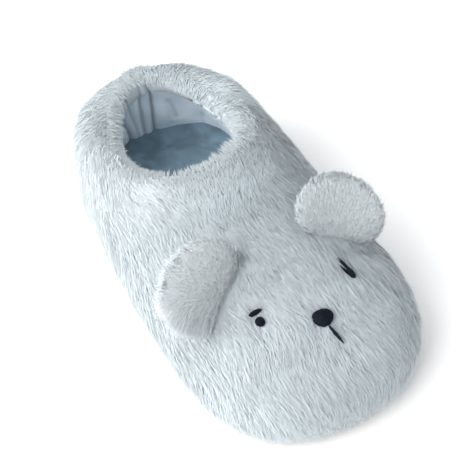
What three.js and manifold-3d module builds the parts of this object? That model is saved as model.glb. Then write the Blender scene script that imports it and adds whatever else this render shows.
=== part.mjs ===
// A plush animal slipper for the right foot: a closed-back slip-on of short fur with a bear-like
// face on the toe. Millimetres, +Z up. The toe points along -Y, the heel along +Y, and the floor
// is z = 0.
import * as THREE from "three";
import { mergeVertices } from "three/addons/utils/BufferGeometryUtils.js";
import Module from "manifold-3d";

const wasm = await Module();
wasm.setup();

// Outer size of the fur
const shoeLength = 265;
const ballWidth = 138;
const heelWidth = 126;
const toeHeight = 60;
const collarHeight = 88;
const lastCurve = 3.5; // how far the middle of a right foot's last swings to the outer side
const outlineRoundness = 2.5; // exponent of the toe's and heel's rounded ends, 2 is an ellipse
const toeCapLength = 80;
const heelCapLength = 66;

// The wall from the lining to the fur's tips
const furPile = 9.5;
const padding = 4.5;
const wall = furPile + padding;
const hemClearance = 2; // the fur's hem above the floor
const hemWall = 7.5; // what is left of the wall at the hem, where it is sewn to the sole

// Collar: the ridge of its padded roll, seen from above, and how high it runs
const collarLength = 108;
const collarWidth = 83;
const collarTaper = 0.12; // how much wider it is towards the toe, and narrower towards the heel
const collarToHeel = 17; // from the ridge to the back of the heel
const collarFrontHeight = 86;
const collarSideHeight = 77;
const collarBackHeight = 86;
const rollRadius = 7;
const rollInset = rollRadius + 1; // from the ridge to the mouth's edge
const rollTurns = [30, 60, 95]; // degrees round the roll from its ridge to the lining

// Sole unit and footbed
const outsoleThickness = 7;
const soleBevel = 1; // at the tread's edge
const sideStep = 1.2; // how far the rib stands out round the sole's side
const ribWidth = 2;
const treadDepth = 1.5;
const treadPitch = 11;
const treadGroove = 3;
const toeSpring = 4.5;
const toeSpringLength = 42;
const heelLift = 1.5; // the rounded back edge of the tread
const heelLiftLength = 14;
const archStart = 0.46; // shares of the sole's length from the toe
const archEnd = 0.66;
const footbedThickness = 8; // of the soft foam under the toes
const heelPad = 12; // how much thicker the foam is under the heel
const heelPadStart = 0.36; // shares of the shoe's length over which it thickens
const heelPadEnd = 0.78;
const footbedCup = 2.4; // how much its edge rises round the foot
const footbedCrown = 0.08; // the rise's highest line, as a share of the half width from the side
const footbedSlope = 0.3;
const footbedFlat = 0.7; // where the rise has run out

// Ears: rounded padded flaps
const earWidth = 50;
const earHeight = 45;
const earThickness = 15;
const earCup = 5; // how far the sides curl forward
const earCupMiddle = 0.3; // where the curl crosses the pad's own plane
const earSink = 11; // the part of the pad below the head's surface, cut away there

// Satin stitches of the face
const noseWidth = 13;
const noseLength = 10.5;
const noseBulge = 4;
const mouthLength = 11.5;
const threadWidth = 1.6;
const eyeWidth = 4.8;
const eyeLength = 5.6;
const lashLength = 7;
const lashWidth = 2.2;
const stitchBulge = 1.7;

// Tufts of fur fused on the surface
const tuftLength = 20;
const tuftWidth = 9;
const tuftThickness = 4;
const tuftLean = 0.26; // how much a tuft's tip stands off the nap, as a share of its length
const tuftSink = 2; // how deep a tuft's root is in the wall
const tuftStep = 4; // directions between tufts of a row
const tuftRowStep = 2; // rings between rows
const tuftClearance = 14; // what tufts keep from ears and stitched marks
const fringeLength = 9; // the shorter tufts of the collar and the ears
const fringeWidth = 7;
const collarTufts = 30;
const earTufts = 11; // round one ear's edge

const gap = 0.3; // what touching pieces keep between them

// Fineness of the faceted surfaces
const directions = 56;
const outerRings = 17;
const innerRings = 8;
const hemRings = 4;
const earFacets = [20, 12];
const markFacets = [12, 6];

// How the skin's paths run in towards the collar, and how late they blend to the topline's height
const planEase = 2.2;
const blendEase = 4;

const toeY = -shoeLength / 2;
const toeCapY = toeY + toeCapLength;
const heelCapY = shoeLength / 2 - heelCapLength;
const collarY = shoeLength / 2 - collarToHeel - collarLength / 2;

// Sections from toe to heel. at: share of the length; width: 0 is the ball's, 1 the heel's;
// height: 0 is the toe's, 1 the collar's; widest: height of the widest line as a share of the
// collar's height; fullness: exponent of the section above that line.
const sections = [
  { at: 0.0, width: 0, height: -0.06, widest: 0.19, fullness: 2.5 },
  { at: 0.1, width: 0, height: -0.02, widest: 0.19, fullness: 2.45 },
  { at: 0.2, width: 0, height: 0.08, widest: 0.2, fullness: 2.35 },
  { at: 0.3, width: 0, height: 0.31, widest: 0.21, fullness: 2.25 },
  { at: 0.4, width: 0.04, height: 0.53, widest: 0.23, fullness: 2.3 },
  { at: 0.5, width: 0.15, height: 0.77, widest: 0.24, fullness: 2.5 },
  { at: 0.6, width: 0.38, height: 0.92, widest: 0.26, fullness: 2.8 },
  { at: 0.7, width: 0.72, height: 0.99, widest: 0.27, fullness: 3.3 },
  { at: 0.8, width: 1, height: 1.02, widest: 0.28, fullness: 3.8 },
  { at: 1.0, width: 1, height: 1.02, widest: 0.28, fullness: 4 },
];

// Where each ear's root crosses the head, the way the root runs and the way the ear stands. The one
// on the outer side has flopped over sideways.
const earY = toeY + 0.287 * shoeLength;
const ears = [
  { name: "inner", x: 0.275 * ballWidth, y: earY, root: [33, -17, -14], rise: [8, 6, 32] },
  { name: "outer", x: -0.255 * ballWidth, y: earY, root: [32, 19, 16.5], rise: [-20, 6, 24] },
];

// Where each stitched mark lies on the face, its width, length and bulge, and its turn in degrees
const eyeX = 0.208 * ballWidth;
const eyeY = toeY + 0.19 * shoeLength;
const noseY = toeY + 0.143 * shoeLength;
const mouthY = noseY - noseLength / 2 - mouthLength / 2 - gap;
const lashY = eyeY + eyeLength / 2 + lashLength / 2;
const noseSize = [noseWidth, noseLength, noseBulge];
const mouthSize = [threadWidth, mouthLength, stitchBulge];
const eyeSize = [eyeWidth, eyeLength, stitchBulge];
const lashSize = [lashWidth, lashLength, stitchBulge];
const marks = [
  { name: "nose", x: 0, y: noseY, size: noseSize, turn: 0 },
  { name: "mouth_line", x: 0, y: mouthY, size: mouthSize, turn: 0 },
  { name: "eye_inner", x: eyeX, y: eyeY, size: eyeSize, turn: 0 },
  { name: "eye_outer", x: -eyeX, y: eyeY, size: eyeSize, turn: 0 },
  { name: "lash_inner", x: eyeX, y: lashY, size: lashSize, turn: 10 },
  { name: "lash_outer", x: -eyeX, y: lashY, size: lashSize, turn: 60 },
];

// Smooth reading of one column of the table at a share of the length
function readSection(column, at) {
  const last = sections.length - 1;
  const place = THREE.MathUtils.clamp(at, 0, 1);
  let row = sections.findIndex((section) => section.at > place) - 1;
  if (row < 0) row = last - 1;
  const value = (index) => sections[THREE.MathUtils.clamp(index, 0, last)][column];
  const here = sections[row];
  const next = sections[row + 1];
  const share = (place - here.at) / (next.at - here.at);
  const slopeHere = (value(row + 1) - value(row - 1)) / 2;
  const slopeNext = (value(row + 2) - value(row)) / 2;
  const cubed = share ** 3;
  const squared = share ** 2;
  return (
    (2 * cubed - 3 * squared + 1) * here[column] +
    (cubed - 2 * squared + share) * slopeHere +
    (3 * squared - 2 * cubed) * next[column] +
    (cubed - squared) * slopeNext
  );
}

const lengthShare = (y) => (y - toeY) / shoeLength;

// Half the width at y, before the ends are rounded
const halfWidthAt = (y) =>
  THREE.MathUtils.lerp(ballWidth, heelWidth, readSection("width", lengthShare(y))) / 2;

const spineHeightAt = (y) =>
  toeHeight + (collarHeight - toeHeight) * readSection("height", lengthShare(y));

const widestHeightAt = (y) => collarHeight * readSection("widest", lengthShare(y));

// How far out a plan point lies: 0 on the spine, 1 on the widest line shrunk by inset
function outwardShare(x, y, inset) {
  const across = Math.abs(x) / (halfWidthAt(THREE.MathUtils.clamp(y, toeCapY, heelCapY)) - inset);
  if (y >= toeCapY && y <= heelCapY) return across;
  const along =
    y < toeCapY ? (toeCapY - y) / (toeCapLength - inset) : (y - heelCapY) / (heelCapLength - inset);
  return (across ** outlineRoundness + along ** outlineRoundness) ** (1 / outlineRoundness);
}

// Height of the rounded form over a plan point
function formHeight(x, y, inset) {
  const out = Math.min(1, outwardShare(x, y, inset));
  const fullness = readSection("fullness", lengthShare(y));
  const widest = widestHeightAt(y);
  const dome = (1 - out ** fullness) ** (1 / fullness);
  return widest + (spineHeightAt(y) - inset - widest) * dome;
}

// Points spaced evenly along a line of points; a closed line gets its first point only once
function spaceEvenly(points, count, closed) {
  const line = closed ? [...points, points[0]] : points;
  const travelled = [0];
  for (let i = 1; i < line.length; i++) {
    travelled.push(travelled[i - 1] + line[i].distanceTo(line[i - 1]));
  }
  const steps = closed ? count : count - 1;
  const spaced = [];
  let segment = 0;
  for (let k = 0; k < count; k++) {
    const target = (travelled.at(-1) * k) / steps;
    while (segment < line.length - 2 && travelled[segment + 1] < target) segment++;
    const span = travelled[segment + 1] - travelled[segment];
    const share = span > 0 ? (target - travelled[segment]) / span : 0;
    spaced.push(line[segment].clone().lerp(line[segment + 1], share));
  }
  return spaced;
}

// Outline of the widest line, shrunk by inset, from the toe's tip over the inner side (+X) and back
function outline(inset) {
  const fine = 48;
  const exponent = 2 / outlineRoundness;
  const side = [];
  for (let k = 0; k < fine; k++) {
    const angle = (k / fine) * (Math.PI / 2);
    side.push(
      new THREE.Vector3(
        (halfWidthAt(toeCapY) - inset) * Math.sin(angle) ** exponent,
        toeCapY - (toeCapLength - inset) * Math.cos(angle) ** exponent,
        0,
      ),
    );
  }
  for (let k = 0; k <= fine; k++) {
    const y = THREE.MathUtils.lerp(toeCapY, heelCapY, k / fine);
    side.push(new THREE.Vector3(halfWidthAt(y) - inset, y, 0));
  }
  for (let k = 1; k <= fine; k++) {
    const angle = (k / fine) * (Math.PI / 2);
    side.push(
      new THREE.Vector3(
        (halfWidthAt(heelCapY) - inset) * Math.max(0, Math.cos(angle)) ** exponent,
        heelCapY + (heelCapLength - inset) * Math.sin(angle) ** exponent,
        0,
      ),
    );
  }
  const otherSide = side.slice(1, -1).reverse();
  const mirrored = otherSide.map((point) => new THREE.Vector3(-point.x, point.y, 0));
  return spaceEvenly([...side, ...mirrored], directions, true);
}

// A point of the collar's ridge seen from above, drawn in towards the opening by inset
function collarPoint(angle, inset) {
  const half = (collarWidth / 2) * (1 + collarTaper * Math.cos(angle)) - inset;
  return new THREE.Vector3(
    half * Math.sin(angle),
    collarY - (collarLength / 2 - inset) * Math.cos(angle),
    0,
  );
}

// The whole ridge in the same order as the outline
function collarRidge(inset) {
  const fine = 200;
  const ridge = [];
  for (let k = 0; k < fine; k++) ridge.push(collarPoint((k / fine) * 2 * Math.PI, inset));
  return spaceEvenly(ridge, directions, true);
}

// The topline: high over the instep and at the heel, dipping beside the ankle
function ridgeHeightAt(y) {
  const along = THREE.MathUtils.clamp((y - collarY) / (collarLength / 2), -1, 1);
  const end = along < 0 ? collarFrontHeight : collarBackHeight;
  return THREE.MathUtils.lerp(collarSideHeight, end, along ** 2);
}

// A right foot's curve, given to every finished point
const curveOfLast = (y) =>
  -lastCurve * Math.sin(Math.PI * THREE.MathUtils.clamp(lengthShare(y), 0, 1));

function curved(point) {
  return new THREE.Vector3(point.x + curveOfLast(point.y), point.y, point.z);
}

// From the widest line over the form to the collar, blended to the topline's height there
function pathOverForm(start, end, endHeight, inset, count) {
  const fine = 90;
  const miss = endHeight - formHeight(end.x, end.y, inset);
  const path = [];
  for (let k = 0; k <= fine; k++) {
    const share = k / fine;
    const point = start.clone().lerp(end, share ** planEase);
    point.z = formHeight(point.x, point.y, inset) + miss * share ** blendEase;
    if (k === 0) point.z = widestHeightAt(point.y);
    path.push(point);
  }
  return spaceEvenly(path, count, false);
}

// The sole's rise off the floor: the toe's spring and the rounded back of the heel
function liftAt(y) {
  const towardsToe = (toeY + wall + toeSpringLength - y) / toeSpringLength;
  const towardsHeel = (y - (shoeLength / 2 - wall - heelLiftLength)) / heelLiftLength;
  return toeSpring * Math.max(0, towardsToe) ** 2 + heelLift * Math.max(0, towardsHeel) ** 2;
}

// From the hem up to the widest line, a quarter of an ellipse
function tuckUnder(widest, hem, clearance, count) {
  const path = [];
  const hemHeight = clearance + liftAt(hem.y);
  for (let k = 0; k < count; k++) {
    const angle = (k / count) * (Math.PI / 2);
    const point = hem.clone().lerp(widest, Math.sin(angle));
    point.z = THREE.MathUtils.lerp(widestHeightAt(widest.y), hemHeight, Math.cos(angle));
    path.push(point);
  }
  return path;
}

// The outer skin as rings from the hem to the collar's ridge; grow puts it that far outside the fur
function outerSkin(grow) {
  const widest = outline(-grow);
  const hem = outline(wall - hemWall - grow);
  const ridge = collarRidge(0);
  return widest.map((start, i) => [
    ...tuckUnder(start, hem[i], hemClearance - grow, hemRings),
    ...pathOverForm(start, ridge[i], ridgeHeightAt(ridge[i].y) + grow, -grow, outerRings),
  ]);
}

// The lining's side of the wall, from the collar's roll down to the sole. It stands upright beside
// the footbed; shrink draws it in to the room that is left for a foot.
function innerSkin(shrink) {
  const foot = outline(wall + shrink);
  const roll = collarRidge(rollInset + shrink);
  return foot.map((start, i) => {
    const mouth = ridgeHeightAt(roll[i].y) - 2 * rollRadius;
    const hem = start.clone().setZ(hemClearance + liftAt(start.y));
    return [hem, ...pathOverForm(start, roll[i], mouth, wall + shrink, innerRings)].reverse();
  });
}

// The roll's top, turning from the ridge down into the mouth
function collarRoll() {
  const ridge = collarRidge(0);
  const mouth = collarRidge(rollInset);
  return ridge.map((top, i) =>
    rollTurns.map((degrees) => {
      const angle = THREE.MathUtils.degToRad(degrees);
      const point = top.clone().lerp(mouth[i], Math.sin(Math.min(angle, Math.PI / 2)));
      point.z = ridgeHeightAt(top.y) - rollRadius * (1 - Math.cos(angle));
      return point;
    }),
  );
}

// A tube bent round into a ring: each profile closes on itself, and so does the row of profiles
function solidFromProfiles(profiles) {
  const along = profiles[0].length;
  const index = [];
  for (let i = 0; i < profiles.length; i++) {
    const next = (i + 1) % profiles.length;
    for (let k = 0; k < along; k++) {
      const up = (k + 1) % along;
      index.push(i * along + k, next * along + k, next * along + up);
      index.push(i * along + k, next * along + up, i * along + up);
    }
  }
  return solidOf(profiles.flat().flatMap((point) => curved(point).toArray()), index);
}

// A stack of closed rings with the same number of points, its two ends filled from their middles
function solidFromRings(rings) {
  const around = rings[0].length;
  const positions = rings.flat().flatMap((point) => curved(point).toArray());
  const index = [];
  for (let row = 0; row < rings.length - 1; row++) {
    for (let i = 0; i < around; i++) {
      const here = row * around;
      const next = (i + 1) % around;
      index.push(here + i, here + next, here + around + next);
      index.push(here + i, here + around + next, here + around + i);
    }
  }
  for (const row of [0, rings.length - 1]) {
    const centre = new THREE.Vector3();
    rings[row].forEach((point) => centre.addScaledVector(point, 1 / around));
    const hub = positions.length / 3;
    positions.push(...curved(centre).toArray());
    for (let i = 0; i < around; i++) {
      const here = row * around + i;
      const next = row * around + ((i + 1) % around);
      if (row === 0) index.push(next, here, hub);
      else index.push(here, next, hub);
    }
  }
  return solidOf(positions, index);
}

// Rings of a skin that is kept as profiles
const ringsOf = (profiles) => profiles[0].map((_, row) => profiles.map((profile) => profile[row]));

function solidOf(positions, index) {
  const build = (triangles) =>
    new wasm.Manifold(
      new wasm.Mesh({
        numProp: 3,
        vertProperties: new Float32Array(positions),
        triVerts: new Uint32Array(triangles),
      }),
    );
  const solid = build(index);
  return solid.volume() > 0 ? solid : build([...index].reverse());
}

function solidFromGeometry(geometry) {
  const plain = geometry.clone();
  for (const name of Object.keys(plain.attributes)) {
    if (name !== "position") plain.deleteAttribute(name);
  }
  const merged = mergeVertices(plain, 1e-4);
  return solidOf(Array.from(merged.attributes.position.array), Array.from(merged.index.array));
}

function meshFromSolid(name, solid, material) {
  const { vertProperties, triVerts, numProp } = solid.getMesh();
  const geometry = new THREE.BufferGeometry();
  const positions = new Float32Array((vertProperties.length / numProp) * 3);
  for (let v = 0; v < positions.length / 3; v++) {
    for (let axis = 0; axis < 3; axis++) {
      positions[v * 3 + axis] = vertProperties[v * numProp + axis];
    }
  }
  geometry.setAttribute("position", new THREE.BufferAttribute(positions, 3));
  geometry.setIndex(new THREE.BufferAttribute(new Uint32Array(triVerts), 1));
  geometry.computeVertexNormals();
  const mesh = new THREE.Mesh(geometry, material);
  mesh.name = name;
  return mesh;
}

// A point of the head's surface with the directions there: out of the fur, across (+X) and up the face
function onSurface(x, y) {
  const height = (a, b) => formHeight(a, b, 0);
  const step = 1;
  const slopeX = height(x + step, y) - height(x - step, y);
  const slopeY = height(x, y + step) - height(x, y - step);
  const across = new THREE.Vector3(2 * step, 0, slopeX).normalize();
  const back = new THREE.Vector3(0, 2 * step, slopeY).normalize();
  const normal = new THREE.Vector3().crossVectors(across, back).normalize();
  const up = new THREE.Vector3().crossVectors(normal, across);
  return { point: new THREE.Vector3(x + curveOfLast(y), y, height(x, y)), normal, across, up };
}

// A flattened tuft, pointed at both ends: its root is in the wall and its tip lies along the nap
function furTuft(root, nap, normal, length, width) {
  const tuft = new THREE.OctahedronGeometry(1);
  tuft.scale(width / 2, length / 2, tuftThickness / 2);
  const lean = nap.clone().addScaledVector(normal, tuftLean).normalize();
  const side = new THREE.Vector3().crossVectors(lean, normal).normalize();
  const face = new THREE.Vector3().crossVectors(side, lean);
  const middle = root.clone().addScaledVector(normal, -tuftSink).addScaledVector(lean, length / 3);
  const placed = new THREE.Matrix4().makeBasis(side, lean, face).setPosition(middle);
  tuft.applyMatrix4(placed);
  return solidFromGeometry(tuft);
}

// Whether a tuft may grow at a point: the ears' roots and the stitched marks stay clear of it
function isClear(point) {
  const spots = [
    ...ears.map((ear) => ({ x: ear.x, y: ear.y, reach: earWidth / 2 })),
    ...marks.map((mark) => ({ x: mark.x, y: mark.y, reach: mark.size[1] / 2 })),
  ];
  return spots.every((spot) => {
    const away = Math.hypot(point.x - spot.x - curveOfLast(spot.y), point.y - spot.y);
    return away > spot.reach + tuftClearance;
  });
}

// Rows of tufts over the fur, each row set between the tufts of the last, lying down and to the toe
function tuftsOver(skin) {
  const tufts = [];
  for (let row = hemRings; row < skin[0].length - 1; row += tuftRowStep) {
    const stagger = (row % (2 * tuftRowStep)) / tuftRowStep > 0.5 ? tuftStep / 2 : 0;
    for (let i = stagger; i < directions; i += tuftStep) {
      const root = curved(skin[i][row]);
      if (!isClear(root)) continue;
      const length = row === hemRings ? fringeLength : tuftLength;
      const beside = curved(skin[(i + 1) % directions][row]);
      const below = curved(skin[i][row - 1]);
      const nap = below.sub(root).normalize();
      const normal = beside.sub(root).cross(nap).negate().normalize();
      tufts.push(furTuft(root, nap, normal, length, tuftWidth));
    }
  }
  return tufts;
}

// Short tufts that fringe the collar, turned outwards over its ridge
function collarFringe() {
  const tufts = [];
  const middle = new THREE.Vector3(0, collarY, 0);
  const up = new THREE.Vector3(0, 0, 1);
  for (let k = 0; k < collarTufts; k++) {
    const ridge = collarPoint(((k + 0.5) / collarTufts) * 2 * Math.PI, 0);
    const outwards = ridge.clone().sub(middle).normalize();
    const root = curved(ridge.setZ(ridgeHeightAt(ridge.y)));
    tufts.push(furTuft(root, outwards, up, fringeLength, fringeWidth));
  }
  return tufts;
}

function makeUpper(material) {
  const outer = outerSkin(0);
  const roll = collarRoll();
  const inner = innerSkin(0);
  const shell = solidFromProfiles(outer.map((path, i) => [...path, ...roll[i], ...inner[i]]));
  const furry = wasm.Manifold.union([shell, ...tuftsOver(outer), ...collarFringe()]);
  return meshFromSolid("upper", furry, material);
}

// The room inside the walls, short of them by the gap
const footRoom = solidFromRings(ringsOf(innerSkin(gap)));

// A closed copy of the head's form, grown by the gap, that cuts what sits on it
const headCutter = solidFromRings(ringsOf(outerSkin(gap)));

// One ear: a padded rounded flap, cupped forward, with a fringe of tufts round its edge
function makeEar(ear, material) {
  const root = onSurface(ear.x, ear.y).point;
  const along = new THREE.Vector3(...ear.root).normalize();
  const rise = new THREE.Vector3(...ear.rise).normalize();
  const front = new THREE.Vector3().crossVectors(along, rise).normalize();
  if (front.y > 0) front.negate();
  const middle = root.clone().addScaledVector(rise, earHeight / 2 - earSink);
  const placed = new THREE.Matrix4().makeBasis(along, rise, front).setPosition(middle);
  const curlAt = (across) => earCup * (across ** 2 - earCupMiddle);
  const pad = new THREE.SphereGeometry(1, ...earFacets);
  const points = pad.attributes.position;
  for (let v = 0; v < points.count; v++) {
    const across = points.getX(v);
    const up = points.getY(v);
    const through = (earThickness / 2) * points.getZ(v) + curlAt(across);
    points.setXYZ(v, (earWidth / 2) * across, (earHeight / 2) * up, through);
  }
  pad.applyMatrix4(placed);
  const fringe = [];
  for (let k = 0; k < earTufts; k++) {
    const angle = (Math.PI * (k + 0.5)) / earTufts;
    const spread = Math.cos(angle);
    const edge = new THREE.Vector3((earWidth / 2) * spread, (earHeight / 2) * Math.sin(angle), 0);
    const outwards = edge.clone().applyMatrix4(placed).sub(middle).normalize();
    const inside = edge.setLength(edge.length() - fringeLength / 2).setZ(curlAt(spread));
    fringe.push(furTuft(inside.applyMatrix4(placed), outwards, front, fringeLength, fringeWidth));
  }
  const furry = wasm.Manifold.union([solidFromGeometry(pad), ...fringe]);
  return meshFromSolid(`ear_${ear.name}`, furry.subtract(headCutter), material);
}

// A raised satin stitch on the face: an oval whose underside follows the fur
function makeMark(mark, material) {
  const { point, normal, across, up } = onSurface(mark.x, mark.y);
  const [width, length, bulge] = mark.size;
  const oval = new THREE.SphereGeometry(1, ...markFacets);
  const turned = new THREE.Matrix4().makeRotationZ(THREE.MathUtils.degToRad(mark.turn));
  const scaled = new THREE.Matrix4().makeScale(width / 2, length / 2, bulge);
  const placed = new THREE.Matrix4().makeBasis(across, up, normal);
  placed.setPosition(point.clone().addScaledVector(normal, gap));
  oval.applyMatrix4(scaled).applyMatrix4(turned).applyMatrix4(placed);
  return meshFromSolid(mark.name, solidFromGeometry(oval).subtract(headCutter), material);
}

// Stations along an outline, from toe to heel, with the half width at each
function stationsOf(inset) {
  return outline(inset)
    .slice(1, directions / 2)
    .map((point) => ({ y: point.y, half: point.x }));
}

// One section across the sole: x counts from the side inwards, z from the sole's own bottom
function acrossAt(station, profile) {
  const side = profile.map(({ inwards, z }) => ({ x: Math.max(gap, station.half - inwards), z }));
  const other = side.map(({ x, z }) => ({ x: -x, z })).reverse();
  return [...side, ...other].map(({ x, z }) => new THREE.Vector3(x, station.y, z + liftAt(station.y)));
}

// The outsole: a moulded plate with a rib round its side, grooves across the tread and a relieved arch
function makeOutsole(material) {
  const ribBottom = (outsoleThickness - ribWidth) / 2;
  const profile = [
    { inwards: sideStep + soleBevel, z: 0 },
    { inwards: sideStep, z: soleBevel },
    { inwards: sideStep, z: ribBottom },
    { inwards: 0, z: ribBottom },
    { inwards: 0, z: ribBottom + ribWidth },
    { inwards: sideStep, z: ribBottom + ribWidth },
    { inwards: sideStep, z: outsoleThickness },
  ];
  const plate = solidFromRings(stationsOf(wall + gap).map((station) => acrossAt(station, profile)));
  const soleLength = shoeLength - 2 * wall;
  const firstY = toeY + wall;
  const cuts = [];
  const cutAcross = (y, length) => {
    const bar = new THREE.BoxGeometry(ballWidth, length, 2 * treadDepth);
    bar.translate(0, y, liftAt(y));
    cuts.push(solidFromGeometry(bar));
  };
  const grooves = Math.round(soleLength / treadPitch);
  for (let k = 1; k < grooves; k++) {
    const share = k / grooves;
    if (share < archStart || share > archEnd) cutAcross(firstY + share * soleLength, treadGroove);
  }
  cutAcross(firstY + ((archStart + archEnd) / 2) * soleLength, (archEnd - archStart) * soleLength);
  return meshFromSolid("outsole", plate.subtract(wasm.Manifold.union(cuts)), material);
}

// The footbed: thick foam that rises towards the heel, its edge raised a little round the foot
function makeInsole(material) {
  const bottom = outsoleThickness + gap;
  const rings = stationsOf(wall + gap).map((station) => {
    const pad = THREE.MathUtils.smoothstep(lengthShare(station.y), heelPadStart, heelPadEnd);
    const top = bottom + footbedThickness + heelPad * pad;
    const profile = [
      { inwards: 0, z: bottom },
      { inwards: 0, z: top + footbedCup * (1 - footbedSlope) },
      { inwards: station.half * footbedCrown, z: top + footbedCup },
      { inwards: station.half * footbedSlope, z: top + footbedCup * footbedSlope },
      { inwards: station.half * footbedFlat, z: top },
    ];
    return acrossAt(station, profile);
  });
  return meshFromSolid("insole", solidFromRings(rings).intersect(footRoom), material);
}

const furMaterial = new THREE.MeshStandardMaterial({ color: 0xc3ced6, roughness: 0.95, metalness: 0 });
const earMaterial = new THREE.MeshStandardMaterial({ color: 0xc9d0d4, roughness: 0.95, metalness: 0 });
const threadMaterial = new THREE.MeshStandardMaterial({ color: 0x141a22, roughness: 0.6, metalness: 0 });
const soleMaterial = new THREE.MeshStandardMaterial({ color: 0x8d9aa5, roughness: 0.8, metalness: 0 });
const footbedMaterial = new THREE.MeshStandardMaterial({ color: 0x566b7b, roughness: 0.9, metalness: 0 });

const slipper = new THREE.Group();
slipper.add(makeUpper(furMaterial));
slipper.add(makeOutsole(soleMaterial));
slipper.add(makeInsole(footbedMaterial));
for (const ear of ears) slipper.add(makeEar(ear, earMaterial));
for (const mark of marks) slipper.add(makeMark(mark, threadMaterial));

// The origin is on the floor under the middle of the whole slipper
const middleOfAll = new THREE.Box3().setFromObject(slipper).getCenter(new THREE.Vector3());
slipper.position.set(-middleOfAll.x, -middleOfAll.y, 0);

export default slipper;
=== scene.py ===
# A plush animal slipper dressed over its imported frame, in metres: combed fur over a padded skin,
# a gathered lining, a velour footbed, stitched eyes and nose, and a rubber sole.
import math

import bmesh
import bpy
import numpy as np
from mathutils import Matrix, Vector


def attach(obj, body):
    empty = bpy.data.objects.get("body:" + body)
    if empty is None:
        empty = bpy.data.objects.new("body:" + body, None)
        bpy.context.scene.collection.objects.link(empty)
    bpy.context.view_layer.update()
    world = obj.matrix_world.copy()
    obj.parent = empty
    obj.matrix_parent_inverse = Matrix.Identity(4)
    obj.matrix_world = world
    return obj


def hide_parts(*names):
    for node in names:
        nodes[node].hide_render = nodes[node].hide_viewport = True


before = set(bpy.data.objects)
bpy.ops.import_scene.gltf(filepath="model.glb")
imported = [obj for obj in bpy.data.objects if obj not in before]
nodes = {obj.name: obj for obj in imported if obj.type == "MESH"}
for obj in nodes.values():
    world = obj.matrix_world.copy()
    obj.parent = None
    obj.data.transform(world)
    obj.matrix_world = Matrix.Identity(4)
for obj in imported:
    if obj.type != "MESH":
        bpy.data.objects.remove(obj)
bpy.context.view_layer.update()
print("frame loaded:", len(nodes), "nodes")

# The last's form in millimetres, as the solids have it, before they were centred on the floor
form = {
    "length": 265,
    "ballWidth": 138,
    "heelWidth": 126,
    "toeHeight": 60,
    "collarHeight": 88,
    "curve": 3.5,
    "roundness": 2.5,
    "toeCap": 80,
    "heelCap": 66,
    "wall": 14,
    "hemWall": 7.5,
    "hemClearance": 2,
    "liningFoot": 8,
    "collarLength": 108,
    "collarWidth": 83,
    "collarTaper": 0.12,
    "collarToHeel": 17,
    "frontHeight": 86,
    "sideHeight": 77,
    "backHeight": 86,
    "rollRadius": 7,
    "rollInset": 8,
    "toeSpring": 4.5,
    "toeSpringLength": 42,
    "heelLift": 1.5,
    "heelLiftLength": 14,
    "planEase": 2.2,
    "blendEase": 4,
    "centred": (3.5, -1.022, 0),
}
# Share of the length from the toe, width (0 ball, 1 heel), height (0 toe, 1 collar), height of the
# widest line as a share of the collar's, and fullness of the section above it
sections = np.array([
    (0.0, 0, -0.06, 0.19, 2.5),
    (0.1, 0, -0.02, 0.19, 2.45),
    (0.2, 0, 0.08, 0.2, 2.35),
    (0.3, 0, 0.31, 0.21, 2.25),
    (0.4, 0.04, 0.53, 0.23, 2.3),
    (0.5, 0.15, 0.77, 0.24, 2.5),
    (0.6, 0.38, 0.92, 0.26, 2.8),
    (0.7, 0.72, 0.99, 0.27, 3.3),
    (0.8, 1, 1.02, 0.28, 3.8),
    (1.0, 1, 1.02, 0.28, 4),
])
toeY = -form["length"] / 2
heelY = form["length"] / 2
toeCapY = toeY + form["toeCap"]
heelCapY = heelY - form["heelCap"]
collarY = heelY - form["collarToHeel"] - form["collarLength"] / 2
around = 240  # directions round the slipper, from the toe over the inner side (+X)
quarterSteps = 48  # steps in a quarter of the plan's outline before it is spaced evenly
ovalSteps = 400
pathSteps = 90
milli = 0.001
# Where the plush is eased in: place, reach and shift in the form's millimetres
slimSpots = [
    {"at": (46, 98, 74), "reach": 30, "shift": (-4.4, -1.6, -2.6)},
    {"at": (-50, 100, 58), "reach": 30, "shift": (3.0, -1.4, -0.4)},
    {"at": (4, 113, 82), "reach": 22, "shift": (0, -1.4, -1.8)},
    {"at": (-8, 8, 85), "reach": 24, "shift": (0, -1.5, -3.2)},
]


def ramp(values, start, width):
    # from 0 at the start to 1 a width further on
    return np.clip((values - start) / width, 0, 1)


def readSection(column, y):
    at = ramp(np.asarray(y, float), toeY, form["length"])
    last = len(sections) - 1
    row = np.clip(np.searchsorted(sections[:, 0], at, side="right") - 1, 0, last - 1)

    def value(k):
        return sections[np.clip(k, 0, last), column]

    share = (at - sections[row, 0]) / (sections[row + 1, 0] - sections[row, 0])
    slopeHere = (value(row + 1) - value(row - 1)) / 2
    slopeNext = (value(row + 2) - value(row)) / 2
    cubed, squared = share**3, share**2
    return (
        (2 * cubed - 3 * squared + 1) * value(row)
        + (cubed - 2 * squared + share) * slopeHere
        + (3 * squared - 2 * cubed) * value(row + 1)
        + (cubed - squared) * slopeNext
    )


def halfWidthAt(y):
    return (form["ballWidth"] + (form["heelWidth"] - form["ballWidth"]) * readSection(1, y)) / 2


def widestHeightAt(y):
    return form["collarHeight"] * readSection(3, y)


def outwardShare(x, y, inset):
    across = np.abs(x) / (halfWidthAt(np.clip(y, toeCapY, heelCapY)) - inset)
    toToe = (toeCapY - y) / (form["toeCap"] - inset)
    toHeel = (y - heelCapY) / (form["heelCap"] - inset)
    along = np.maximum(np.maximum(toToe, toHeel), 0)
    return (across ** form["roundness"] + along ** form["roundness"]) ** (1 / form["roundness"])


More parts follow.
